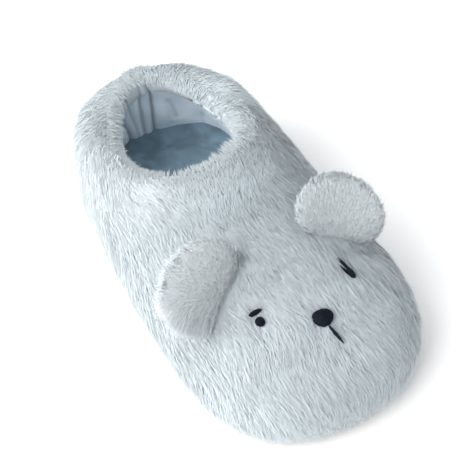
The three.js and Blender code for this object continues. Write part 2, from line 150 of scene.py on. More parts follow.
def formHeight(x, y, inset):
    out = np.minimum(1, outwardShare(x, y, inset))
    fullness = readSection(4, y)
    spine = form["toeHeight"] + (form["collarHeight"] - form["toeHeight"]) * readSection(2, y)
    widest = widestHeightAt(y)
    return widest + (spine - inset - widest) * (1 - out**fullness) ** (1 / fullness)


def spaceEvenly(points, count, closed=False):
    line = np.vstack([points, points[:1]]) if closed else points
    travelled = np.concatenate([[0], np.cumsum(np.linalg.norm(np.diff(line, axis=0), axis=1))])
    steps = count if closed else count - 1
    targets = travelled[-1] * np.arange(count) / steps
    return np.stack([np.interp(targets, travelled, line[:, axis]) for axis in range(3)], axis=1)


def outline(inset):
    fine = np.arange(quarterSteps) / quarterSteps
    power = 2 / form["roundness"]
    quarter = fine * math.pi / 2
    toe = np.stack([
        (halfWidthAt(toeCapY) - inset) * np.sin(quarter) ** power,
        toeCapY - (form["toeCap"] - inset) * np.cos(quarter) ** power,
    ], axis=1)
    y = toeCapY + (heelCapY - toeCapY) * np.append(fine, 1)
    flank = np.stack([halfWidthAt(y) - inset, y], axis=1)
    turn = np.append(fine[1:], 1) * math.pi / 2
    heel = np.stack([
        (halfWidthAt(heelCapY) - inset) * np.maximum(0, np.cos(turn)) ** power,
        heelCapY + (form["heelCap"] - inset) * np.sin(turn) ** power,
    ], axis=1)
    side = np.vstack([toe, flank, heel])
    other = side[1:-1][::-1] * (-1, 1)
    plan = np.vstack([side, other])
    return spaceEvenly(np.column_stack([plan, np.zeros(len(plan))]), around, closed=True)


def collarRidge(inset):
    angle = np.arange(ovalSteps) / ovalSteps * 2 * math.pi
    half = form["collarWidth"] / 2 * (1 + form["collarTaper"] * np.cos(angle)) - inset
    x = half * np.sin(angle)
    y = collarY - (form["collarLength"] / 2 - inset) * np.cos(angle)
    return spaceEvenly(np.column_stack([x, y, np.zeros(ovalSteps)]), around, closed=True)


def ridgeHeightAt(y):
    along = np.clip((y - collarY) / (form["collarLength"] / 2), -1, 1)
    end = np.where(along < 0, form["frontHeight"], form["backHeight"])
    return form["sideHeight"] + (end - form["sideHeight"]) * along**2


def liftAt(y):
    toToe = (toeY + form["wall"] + form["toeSpringLength"] - y) / form["toeSpringLength"]
    toHeel = (y - (heelY - form["wall"] - form["heelLiftLength"])) / form["heelLiftLength"]
    return (
        form["toeSpring"] * np.maximum(0, toToe) ** 2
        + form["heelLift"] * np.maximum(0, toHeel) ** 2
    )


def placed(points):
    # from the form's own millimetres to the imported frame's metres, with the right foot's curve
    points = np.array(points, float)
    at = ramp(points[..., 1], toeY, form["length"])
    points[..., 0] -= form["curve"] * np.sin(math.pi * at)
    return (points + form["centred"]) * milli


def slimmed(points, fade=1.0):
    # eases the plush in where the photographed one lies a little inside the solid
    moved = np.array(points, float)
    for spot in slimSpots:
        distance = np.linalg.norm(points - spot["at"], axis=-1, keepdims=True)
        moved += np.array(spot["shift"]) * np.exp(-((distance / spot["reach"]) ** 2)) * fade
    return moved


def pathsOverForm(start, end, endHeight, inset, count):
    share = np.arange(pathSteps + 1)[:, None] / pathSteps
    miss = endHeight - formHeight(end[:, 0], end[:, 1], inset)
    ease = share[:, :, None] ** form["planEase"]
    points = start[None] + (end - start)[None] * ease
    points[..., 2] = formHeight(points[..., 0], points[..., 1], inset)
    points[..., 2] += miss[None] * share ** form["blendEase"]
    points[0, :, 2] = widestHeightAt(start[:, 1])
    paths = [spaceEvenly(points[:, i], count) for i in range(around)]
    return np.array(paths).transpose(1, 0, 2)


def outerRings(grow, hemRows=14, rows=96):
    # rings from the hem to the collar's ridge, at a distance outside the fur's own form
    widest = outline(-grow)
    hem = outline(form["wall"] - form["hemWall"] - grow)
    ridge = collarRidge(0)
    angle = (np.arange(hemRows) / hemRows * math.pi / 2)[:, None, None]
    tuck = hem[None] + (widest - hem)[None] * np.sin(angle)
    hemHeight = form["hemClearance"] - grow + liftAt(hem[:, 1])
    top = widestHeightAt(widest[:, 1])
    tuck[..., 2] = top + (hemHeight - top) * np.cos(angle[..., 0])
    over = pathsOverForm(widest, ridge, ridgeHeightAt(ridge[:, 1]) + grow, -grow, rows)
    return np.concatenate([tuck, over])


def rollRings(turns, inset, drop, radius):
    # rings over the collar's padded roll, from its ridge into the mouth
    ridge, mouth = collarRidge(0), collarRidge(inset)
    rings = []
    for degrees in turns:
        turn = math.radians(degrees)
        ring = ridge + (mouth - ridge) * math.sin(min(turn, math.pi / 2))
        ring[:, 2] = ridgeHeightAt(ridge[:, 1]) - drop - radius * (1 - math.cos(turn))
        rings.append(ring)
    return np.array(rings)


def liningRings(shrink, rows=40):
    foot = outline(form["wall"] + shrink)
    roll = collarRidge(form["rollInset"] + shrink)
    mouth = ridgeHeightAt(roll[:, 1]) - 2 * form["rollRadius"]
    inside = pathsOverForm(foot, roll, mouth, form["wall"] + shrink, rows)[::-1]
    foot[:, 2] = form["liningFoot"] + liftAt(foot[:, 1])
    return np.concatenate([inside, foot[None]])


def onSurface(x, y):
    # a point of the fur's own form, the two ways along it there and its normal
    step = 1
    slopeX = formHeight(x + step, y, 0) - formHeight(x - step, y, 0)
    slopeY = formHeight(x, y + step, 0) - formHeight(x, y - step, 0)
    across = Vector((2 * step, 0, float(slopeX))).normalized()
    back = Vector((0, 2 * step, float(slopeY))).normalized()
    normal = across.cross(back).normalized()
    point = Vector(placed((x, y, float(formHeight(x, y, 0)))))
    return point, across, normal.cross(across), normal


# Materials

def newMaterial(name):
    material = bpy.data.materials.new(name)
    material.use_nodes = True
    tree = material.node_tree
    return material, tree, tree.nodes["Principled BSDF"]


def addNode(tree, kind, **settings):
    node = tree.nodes.new(kind)
    for key, value in settings.items():
        if key in node.inputs:
            node.inputs[key].default_value = value
        else:
            setattr(node, key, value)
    return node


def multiplyNode(tree):
    node = addNode(tree, "ShaderNodeMix", data_type="RGBA", blend_type="MULTIPLY")
    node.inputs["Factor"].default_value = 1
    return node


def makeGroup(name, inputs, outputs):
    group = bpy.data.node_groups.new(name, "ShaderNodeTree")
    for label, kind, value in inputs:
        socket = group.interface.new_socket(label, in_out="INPUT", socket_type=kind)
        socket.default_value = value
    for label, kind in outputs:
        group.interface.new_socket(label, in_out="OUTPUT", socket_type=kind)
    return group, group.nodes.new("NodeGroupInput"), group.nodes.new("NodeGroupOutput")


colours = {
    "furDark": (0.40, 0.457, 0.488, 1),
    "furMid": (0.485, 0.54, 0.57, 1),
    "furLight": (0.60, 0.656, 0.681, 1),
    "earDark": (0.44, 0.485, 0.51, 1),
    "earMid": (0.53, 0.58, 0.605, 1),
    "earLight": (0.64, 0.685, 0.71, 1),
}


def strandColourGroup():
    # X of the place is the strand's tone, Y runs from its root to its tip; towards the root the
    # colour is lightened as painted fill light against the shade between the strands
    group, given, result = makeGroup("strandColour", [
        ("Place", "NodeSocketVector", (0, 0, 0)),
        ("Dark", "NodeSocketColor", (0.3, 0.3, 0.3, 1)),
        ("Mid", "NodeSocketColor", (0.5, 0.5, 0.5, 1)),
        ("Light", "NodeSocketColor", (0.7, 0.7, 0.7, 1)),
        ("Root", "NodeSocketFloat", 1.0),
    ], [("Color", "NodeSocketColor")])
    split = addNode(group, "ShaderNodeSeparateXYZ")
    lower = addNode(group, "ShaderNodeMapRange", **{"From Max": 0.5})
    upper = addNode(group, "ShaderNodeMapRange", **{"From Min": 0.5})
    depth = addNode(group, "ShaderNodeMapRange", **{"From Max": 0.75})
    darkToMid = addNode(group, "ShaderNodeMix", data_type="RGBA")
    midToLight = addNode(group, "ShaderNodeMix", data_type="RGBA")
    shade = multiplyNode(group)
    link = group.links.new
    link(given.outputs["Place"], split.inputs[0])
    link(split.outputs["X"], lower.inputs["Value"])
    link(split.outputs["X"], upper.inputs["Value"])
    link(split.outputs["Y"], depth.inputs["Value"])
    link(given.outputs["Root"], depth.inputs["To Min"])
    link(lower.outputs[0], darkToMid.inputs["Factor"])
    link(given.outputs["Dark"], darkToMid.inputs["A"])
    link(given.outputs["Mid"], darkToMid.inputs["B"])
    link(upper.outputs[0], midToLight.inputs["Factor"])
    link(darkToMid.outputs["Result"], midToLight.inputs["A"])
    link(given.outputs["Light"], midToLight.inputs["B"])
    link(midToLight.outputs["Result"], shade.inputs["A"])
    link(depth.outputs[0], shade.inputs["B"])
    link(shade.outputs["Result"], result.inputs["Color"])
    return group


def grainGroup():
    # a fine weave or grain: the colour lightened and darkened by it, and its small bumps
    group, given, result = makeGroup("fineGrain", [
        ("Place", "NodeSocketVector", (0, 0, 0)),
        ("Base", "NodeSocketColor", (0.5, 0.5, 0.5, 1)),
        ("Scale", "NodeSocketFloat", 1000),
        ("Relief", "NodeSocketFloat", 0.3),
    ], [("Color", "NodeSocketColor"), ("Normal", "NodeSocketVector")])
    noise = addNode(group, "ShaderNodeTexNoise", Detail=4.0)
    spread = addNode(group, "ShaderNodeMapRange", **{"To Min": 0.8, "To Max": 1.15})
    tint = multiplyNode(group)
    bump = addNode(group, "ShaderNodeBump", Distance=0.0006)
    link = group.links.new
    link(given.outputs["Place"], noise.inputs["Vector"])
    link(given.outputs["Scale"], noise.inputs["Scale"])
    link(given.outputs["Base"], tint.inputs["A"])
    link(given.outputs["Relief"], bump.inputs["Strength"])
    link(noise.outputs[0], spread.inputs["Value"])
    link(spread.outputs[0], tint.inputs["B"])
    link(noise.outputs[0], bump.inputs["Height"])
    link(tint.outputs["Result"], result.inputs["Color"])
    link(bump.outputs[0], result.inputs["Normal"])
    return group


strandColour = strandColourGroup()
fineGrain = grainGroup()


def useGroup(tree, group, **settings):
    node = addNode(tree, "ShaderNodeGroup")
    node.node_tree = group
    for key, value in settings.items():
        node.inputs[key].default_value = value
    return node


def strandMaterial(name, dark, mid, light):
    material, tree, shader = newMaterial(name)
    place = addNode(tree, "ShaderNodeUVMap", uv_map="OFBake")
    # the roots are painted a tenth lighter than the tips, painted fill light for the shade between
    # strands
    strand = useGroup(tree, strandColour, Dark=dark, Mid=mid, Light=light, Root=1.1)
    tree.links.new(place.outputs["UV"], strand.inputs["Place"])
    tree.links.new(strand.outputs["Color"], shader.inputs["Base Color"])
    shader.inputs["Roughness"].default_value = 0.85
    shader.inputs["Specular IOR Level"].default_value = 0.25
    shader.inputs["Sheen Weight"].default_value = 0.35
    shader.inputs["Sheen Roughness"].default_value = 0.4
    return material


furMaterial = strandMaterial(
    "plushFur", colours["furDark"], colours["furMid"], colours["furLight"]
)
earFurMaterial = strandMaterial(
    "earFur", colours["earDark"], colours["earMid"], colours["earLight"]
)


def plainFinish(name, colour, roughness, scale, relief, sheen=0.0):
    material, tree, shader = newMaterial(name)
    place = addNode(tree, "ShaderNodeTexCoord")
    grain = useGroup(tree, fineGrain, Base=(*colour, 1), Scale=scale, Relief=relief)
    tree.links.new(place.outputs["Object"], grain.inputs["Place"])
    tree.links.new(grain.outputs["Color"], shader.inputs["Base Color"])
    tree.links.new(grain.outputs["Normal"], shader.inputs["Normal"])
    shader.inputs["Roughness"].default_value = roughness
    shader.inputs["Sheen Weight"].default_value = sheen
    return material


def addShade(material, attribute, amount):
    # darkens the base colour by a piece's own attribute, which is 1 where the shade is deepest
    tree = material.node_tree
    shader = tree.nodes["Principled BSDF"]
    colour = shader.inputs["Base Color"].links[0].from_socket
    held = addNode(tree, "ShaderNodeAttribute", attribute_name=attribute)
    keep = addNode(tree, "ShaderNodeMapRange", **{"To Min": 1, "To Max": 1 - amount})
    tint = multiplyNode(tree)
    tree.links.new(held.outputs["Fac"], keep.inputs[0])
    tree.links.new(colour, tint.inputs["A"])
    tree.links.new(keep.outputs[0], tint.inputs["B"])
    tree.links.new(tint.outputs["Result"], shader.inputs["Base Color"])


def addBrushing(material, scale, low, high):
    # broad soft patches where the nap is brushed one way or the other
    tree = material.node_tree
    shader = tree.nodes["Principled BSDF"]
    colour = shader.inputs["Base Color"].links[0].from_socket
    place = addNode(tree, "ShaderNodeTexCoord")
    patches = addNode(tree, "ShaderNodeTexNoise", Scale=scale, Detail=2.0, Distortion=0.6)
    spread = addNode(tree, "ShaderNodeMapRange", **{"From Min": 0.35, "From Max": 0.65})
    spread.inputs["To Min"].default_value = low
    spread.inputs["To Max"].default_value = high
    tint = multiplyNode(tree)
    tree.links.new(place.outputs["Object"], patches.inputs["Vector"])
    tree.links.new(patches.outputs[0], spread.inputs[0])
    tree.links.new(colour, tint.inputs["A"])
    tree.links.new(spread.outputs[0], tint.inputs["B"])
    tree.links.new(tint.outputs["Result"], shader.inputs["Base Color"])


skinMaterial = plainFinish("furBacking", (0.58, 0.64, 0.675), 0.95, 900, 0.4)
earSkinMaterial = plainFinish("earBacking", (0.60, 0.635, 0.655), 0.95, 900, 0.4)
liningMaterial = plainFinish("satinLining", (0.82, 0.92, 1.0), 0.55, 1400, 0.1, 0.3)
# painted shade on the lining: darker along its gathers and puckers and under the fur at its top
# edge
addShade(liningMaterial, "paintedShade", 0.62)
footbedMaterial = plainFinish("velourFootbed", (0.15, 0.235, 0.30), 0.9, 1200, 0.5, 0.3)
addBrushing(footbedMaterial, 55, 0.72, 1.3)
threadMaterial = plainFinish("faceThread", (0.004, 0.007, 0.013), 0.8, 3000, 0.3)
threadMaterial.node_tree.nodes["Principled BSDF"].inputs["Specular IOR Level"].default_value = 0.12
soleMaterial = plainFinish("soleRubber", (0.26, 0.32, 0.37), 0.75, 700, 0.2)
print("materials made")


# Pieces

def pieceFrom(shell, name, material):
    mesh = bpy.data.meshes.new(name)
    shell.to_mesh(mesh)
    shell.free()
    mesh.materials.append(material)
    mesh.shade_smooth()
    piece = bpy.data.objects.new(name, mesh)
    bpy.context.scene.collection.objects.link(piece)
    return piece


def drawRings(rings, outwards=True, paintedShades=None):
    # a circle drawn up ring by ring, each laid on its own outline
    shell = bmesh.new()
    direction = shell.verts.layers.int.new("direction")
    # an optional float layer carries each vertex's painted shade for the material
    if paintedShades is not None:
        held = shell.verts.layers.float.new("paintedShade")
    first = bmesh.ops.create_circle(shell, segments=len(rings[0]), radius=1)["verts"]
    for i, vertex in enumerate(first):
        vertex[direction] = i
        vertex.co = rings[0][i]
    edges = list(shell.edges)
    for row, ring in enumerate(rings[1:], start=1):
        drawn = bmesh.ops.extrude_edge_only(shell, edges=edges)["geom"]
        edges = [part for part in drawn if isinstance(part, bmesh.types.BMEdge)]
        for part in drawn:
            if isinstance(part, bmesh.types.BMVert):
                part.co = ring[part[direction]]
                if paintedShades is not None:
                    part[held] = paintedShades[row][part[direction]]
    shell.normal_update()
    face = next(iter(shell.faces))
    away = face.calc_center_median() - Vector(rings[0].mean(axis=0))
    if (face.normal.dot(away) > 0) != outwards:
        bmesh.ops.reverse_faces(shell, faces=list(shell.faces))
    return shell


def finishPiece(piece, slot, *replaced, padded=None):
    if replaced:
        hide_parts(*replaced)
    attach(piece, "root")
    return piece


skin = {
    "inset": 4.2,
    "rows": 48,
    "rollTurns": (20, 40, 60, 80, 100),
    "rollRadius": 6,
    "hemIn": 0.4,
    "hemUp": 4,
}
skinRings = outerRings(-skin["inset"], rows=skin["rows"])
under = outline(form["wall"] + skin["hemIn"])
under[:, 2] = form["hemClearance"] + skin["hemUp"] + liftAt(under[:, 1])
rollOver = rollRings(skin["rollTurns"], form["rollInset"], skin["inset"], skin["rollRadius"])
skinTurns = np.cos(np.radians(skin["rollTurns"])).clip(0)[:, None, None]
skinGrid = np.concatenate([under[None], slimmed(skinRings), slimmed(rollOver, skinTurns)])
skinShell = drawRings(placed(skinGrid))
furSkin = pieceFrom(skinShell, "fur_skin", skinMaterial)
finishPiece(furSkin, "plush_fur", "upper")
print("skin made")

# Fur
random = np.random.default_rng(2402)
waves = random.normal(size=(7, 3))
phases = random.uniform(0, 2 * math.pi, 7)


def softNoise(points, size, shift=0):
    # crossed sine waves of about this size in millimetres, from -1 to 1
    total = np.zeros(len(points))
    for wave, phase in zip(waves, phases):
        total += np.sin(points @ wave * (2 * math.pi / size) / milli * 0.6 + phase + shift)
    return total / 4


def unit(vectors):
    return vectors / np.maximum(np.linalg.norm(vectors, axis=-1, keepdims=True), 1e-12)


def gridFrames(grid):
    # normals and the way up each path at every point of a grid of rings
    alongPath = np.gradient(grid, axis=0)
    aroundRing = (np.roll(grid, -1, axis=1) - np.roll(grid, 1, axis=1)) / 2
    normal = unit(np.cross(aroundRing, alongPath))
    return normal, unit(alongPath)


def scatter(grid, fields, weight, count):
    # random places on the grid, evenly by area times weight, with the fields read there
    nextRing = np.roll(grid, -1, axis=1)
    area = np.linalg.norm(
        np.cross(nextRing[:-1] - grid[:-1], grid[1:] - grid[:-1]), axis=-1
    )
    chance = (area * weight[:-1]).ravel()
    cells = random.choice(chance.size, size=count, p=chance / chance.sum())
    row, column = np.unravel_index(cells, area.shape)
    up, across = random.random((2, count, 1))
    beside = (column + 1) % grid.shape[1]

    def read(values):
        low = values[row, column] * (1 - across) + values[row, beside] * across
        high = values[row + 1, column] * (1 - across) + values[row + 1, beside] * across
        return low * (1 - up) + high * up

    return [read(values) for values in (grid, *fields)]


def turned(vectors, axes, angles):
    cosine, sine = np.cos(angles)[:, None], np.sin(angles)[:, None]
    return vectors * cosine + np.cross(axes, vectors) * sine


# Ranges that single strands are drawn from or held to: shares of their lock's length and width,
# radians, and places on the tone map
blade = {
    "lengths": (0.75, 1.15),
    "widths": (0.8, 1.2),
    "waist": 0.9,
    "leans": (0.05, 1.5),
    "tipLeans": (-1.0, 1.4),
    "gathers": (0.6, 1.2),
    "middleGather": 0.45,
    "tones": (0.02, 0.97),
    "mapEdge": 0.02,
    "mapHalfWidth": 0.015,
}


def growStrands(name, lock, strands, material, slot):
    # blades of three triangles; lock: a field per value with a row for each lock; strands: how
    # every lock is filled
    count = strands["perLock"]
    pick = np.repeat(np.arange(len(lock["root"])), count)
    total = len(pick)
    normal, nap = lock["normal"][pick], lock["nap"][pick]
    beside = np.cross(nap, normal)
    spread = strands["spread"] * milli * random.normal(size=(total, 2))
    root = lock["root"][pick] + nap * spread[:, :1] + beside * spread[:, 1:]
    ownNap = turned(nap, normal, random.normal(size=total) * strands["stray"])
    length = lock["length"][pick] * random.uniform(*blade["lengths"], total) * milli
    lean = lock["lean"][pick] + random.normal(size=total) * strands["leanStray"]
    lean = np.clip(lean, *blade["leans"])
    lay = strands["layDown"] + lock["stand"]
    low = np.clip(lean * lay[pick], *blade["tipLeans"])

    def reach(base, direction, firstLean, secondLean, size):
        bend = base + size[:, None] * strands["bendAt"] * (
            direction * np.cos(firstLean)[:, None] + normal * np.sin(firstLean)[:, None]
        )
        end = bend + size[:, None] * (1 - strands["bendAt"]) * (
            direction * np.cos(secondLean)[:, None] + normal * np.sin(secondLean)[:, None]
        )
        return bend, end

    middle, tip = reach(root, ownNap, lean, low, length)
    lockLength = lock["length"][pick] * milli
    lockLean = lock["lean"][pick]
    lockMiddle, lockTip = reach(
        lock["root"][pick], nap, lockLean, lockLean * lay[pick], lockLength
    )
    gather = strands["gather"] * lock["gather"][pick] * random.uniform(*blade["gathers"], total)
    gather = gather[:, None]
    tip = tip + (lockTip - tip) * gather
    middle = middle + (lockMiddle - middle) * gather * blade["middleGather"]
    side = unit(np.cross(tip - root, normal))
    side = turned(side, unit(tip - root), random.normal(size=total) * strands["twist"])
    half = side * (strands["width"] * milli / 2) * random.uniform(*blade["widths"], total)[:, None]
    waist = half * blade["waist"]
    points = np.stack([root - half, root + half, middle + waist, middle - waist, tip], 1)
    points[..., 2] = np.maximum(points[..., 2], strands["floor"] * milli)

    shading = normal + side * random.normal(size=(total, 1)) * strands["shadeStray"]
    shading = unit(shading + lock["tilt"][pick])
    tone = lock["tone"][pick] + random.normal(size=total) * strands["toneStray"]
    tone = np.clip(tone, *blade["tones"])
    mesh = bpy.data.meshes.new(name)
    faces = (np.arange(total)[:, None, None] * 5 + np.array([(0, 1, 2), (0, 2, 3), (3, 2, 4)]))
    corners = faces.reshape(-1)
    mesh.vertices.add(total * 5)
    mesh.vertices.foreach_set("co", points.astype(np.float32).ravel())
    mesh.loops.add(len(corners))
    mesh.loops.foreach_set("vertex_index", corners.astype(np.int32))
    mesh.polygons.add(len(corners) // 3)
    mesh.polygons.foreach_set("loop_start", np.arange(0, len(corners), 3, dtype=np.int32))
    mesh.update(calc_edges=True)
    edge, bend = blade["mapEdge"], strands["bendAt"]
    alongStrand = np.array([edge, edge, bend, bend, 1 - edge])
    acrossStrand = np.array([-1, 1, 1, -1, 0]) * blade["mapHalfWidth"]
    places = np.stack([
        (tone[:, None] + acrossStrand).ravel(), np.tile(alongStrand, total),
    ], axis=1)
    layer = mesh.uv_layers.new(name="OFBake", do_init=False)
    layer.uv.foreach_set("vector", places[corners].astype(np.float32).ravel())
    mesh.shade_smooth()
    mesh.normals_split_custom_set_from_vertices(np.repeat(shading, 5, axis=0))
    mesh.materials.append(material)
    piece = bpy.data.objects.new(name, mesh)
    bpy.context.scene.collection.objects.link(piece)
    finishPiece(piece, slot)
    print(f"{name}: {total} strands, {total * 3} triangles")
    return piece


fur = {
    "inset": 3.6,
    "length": 12.0,
    "sections": {"fur_toe": (-0.13, 0.13), "fur_inner_side": (0.13, 0.385),
                 "fur_heel": (0.385, 0.615), "fur_outer_side": (0.615, 0.87)},
    "rollTurns": (15, 30, 45, 55),
    "locks": 4550,
    "lean": 0.34,
    "sideLean": 0.15,  # how much flatter it lies down the sides
    "lengthWaves": (21, 0.12),
    "tilt": 0.02,
    "creaseDepth": 3.2,
    "trimReach": 6,  # millimetres round a stitched mark over which it gets shorter
    "trimShortest": 0.22,
    "trimBare": -0.2,
}
# How values wander over the pile: size of the waves in millimetres, their strength, and the
# strength of each lock's own random part
wander = {"swirl": (34, 0.32, 0.11), "lean": (17, 0.04, 0.05), "tone": (26, 0.05, 0.045)}
# Where a change of the pile starts and how wide it is: first as shares of the way from the hem to
# the lining, then in metres along X, Y or Z
zones = {
    "over": (0.86, 0.06),
    "roll": (0.93, 0.05),
    "fringe": (0.975, 0.012),
    "front": (-collarY * milli, 0.04),
    "inner": (-0.012, 0.03),
    "outer": (0, 0.04),
    "vampShade": (-0.075, 0.06),
    "collarUp": (0.04, 0.03),
    "collarBack": (0, 0.02),
}
fringeForm = {
    "rollCut": 0.5,
    "sideCut": 0.3,
    "frontShare": 0.5,
    "innerGain": 0.4,
    "uneven": 0.35,
    "lean": (0.08, 0.65),  # all round, and more at the front
    "stand": (0.1, 0.55),
    "tipsDown": 2.4,
    "aimHeight": 0.06,  # metres above the floor, in the middle of the opening
}
# Strengths of the painted shade on the vamp, of the painted highlight on the collar's outer side
# and of the painted shade in the head's creases
tones = {"vampShade": 0.3, "collarHighlight": 0.2, "dentAndShade": 0.45}
# Soft creases of the head: ends in plan, half width and strength
headCreases = [
    ((-29, -22), (-20, -34), 2.4, 0.8),
    ((-20, -34), (-14, -46), 2.2, 1.0),
    ((22, -56), (37, -63.5), 2.0, 0.8),
    ((37, -63.5), (50, -68), 2.2, 1.0),
    ((26.5, -70), (28.5, -78), 2.6, 1.0),
    ((4, -112), (8, -122), 1.2, 0.5),
]
bodyStrands = {
    "perLock": 13, "spread": 1.7, "stray": 0.14, "leanStray": 0.1, "layDown": 0.25,
    "bendAt": 0.42, "gather": 0.2, "twist": 0.2, "width": 0.38, "floor": 0.6,
    "shadeStray": 0.03, "toneStray": 0.04,
}
# The two ears' tones differ as painted light and shade: the inner ear, which faces the lamp, is
# painted darker than the outer one
ears = [
    {"name": "ear_inner", "x": 0.275 * form["ballWidth"], "root": (33, -17, -14),
     "rise": (8, 6, 32), "tone": 0.42, "lies": 0},
    {"name": "ear_outer", "x": -0.255 * form["ballWidth"], "root": (32, 19, 16.5),
     "rise": (-20, 6, 24), "tone": 0.8, "lies": 1},
]
earY = toeY + 0.287 * form["length"]
eyeX = 0.208 * form["ballWidth"]
eyeY = toeY + 0.19 * form["length"]
noseY = toeY + 0.143 * form["length"]
# Width, length and bulge of each stitched mark, its turn in degrees and how much its top widens
marks = [
    {"name": "nose", "x": 1.3, "y": noseY - 0.9,
     "size": (11.2, 9.4, 2), "turn": -14, "taper": 0.16},
    {"name": "mouth_line", "x": 1.9, "y": noseY - 11,
     "size": (0.9, 12, 0.8), "turn": 9, "taper": 0.3},
    {"name": "eye_inner", "x": eyeX + 1.0, "y": eyeY + 2.1,
     "size": (2.2, 7.4, 0.9), "turn": 15, "taper": -0.2},
    {"name": "eye_outer", "x": 1.8 - eyeX, "y": eyeY + 0.9,
     "size": (4.9, 5.3, 1.2), "turn": 20, "taper": 0.1},
    {"name": "lash_inner", "x": eyeX + 0.1, "y": eyeY + 5.6,
     "size": (1.8, 13, 0.9), "turn": 11, "taper": -0.15},
    {"name": "lash_outer", "x": 2.4 - eyeX, "y": eyeY + 6.1,
     "size": (2.3, 7.6, 1.1), "turn": 84, "taper": 0.2},
]

furTurns = np.cos(np.radians(fur["rollTurns"]))[:, None, None]
furGrid = placed(np.concatenate([
    slimmed(outerRings(-fur["inset"])),
    slimmed(
        rollRings(fur["rollTurns"], form["rollInset"], fur["inset"], form["rollRadius"]), furTurns
    ),
]))
furNormal, pathUp = gridFrames(furGrid)
rowShare = np.linspace(0, 1, len(furGrid))[:, None] * np.ones((1, around))
# The nap runs to the toe over the vamp and down the sides and the heel
forward = np.array([0, -1.0, 0])
toToe = forward - furNormal * (furNormal @ forward)[..., None]
flow = ramp(-furGrid[..., 1], -(collarY * milli + 0.02), 0.06)
flow = flow * np.clip(furNormal[..., 2] * 1.4, 0.25, 1)
furNap = unit(-pathUp * (1 - 0.6 * flow)[..., None] + toToe * flow[..., None])
print("fur field laid")


def markDistance(points):
    # distance in millimetres from the nearest stitched mark's edge, measured in plan
    nearest = np.full(len(points), 1e3)
    for mark in marks:
        centre = placed((mark["x"], mark["y"], 0))[:2]
        away = (points[:, :2] - centre) / milli
        turn = math.radians(mark["turn"])
        u = away @ np.array([math.cos(turn), math.sin(turn)])
        v = away @ np.array([-math.sin(turn), math.cos(turn)])
        size = mark["size"]
        radius = np.hypot(u / (size[0] / 2), v / (size[1] / 2))
        edge = np.hypot(u, v) * (1 - 1 / np.maximum(radius, 1e-6))
        nearest = np.minimum(nearest, edge)
    return nearest


def wandering(points, value, shift=0):
    size, waved, own = wander[value]
    return waved * softNoise(points, size, shift) + own * random.normal(size=len(points))


def creaseDepth(points):
    # the strength of a crease in its middle, 0 away from all of them
    deepest = np.zeros(len(points))
    for start, end, width, strength in headCreases:
        first, run = np.array(start), np.array(end) - np.array(start)
        away = points[:, :2] / milli - first
        share = np.clip(away @ run / (run @ run), 0, 1)
        distance = np.linalg.norm(away - share[:, None] * run, axis=1)
        depth = strength * np.exp(-((distance / width) ** 2)) * (points[:, 2] > 0.03)
        deepest = np.maximum(deepest, depth)
    return deepest


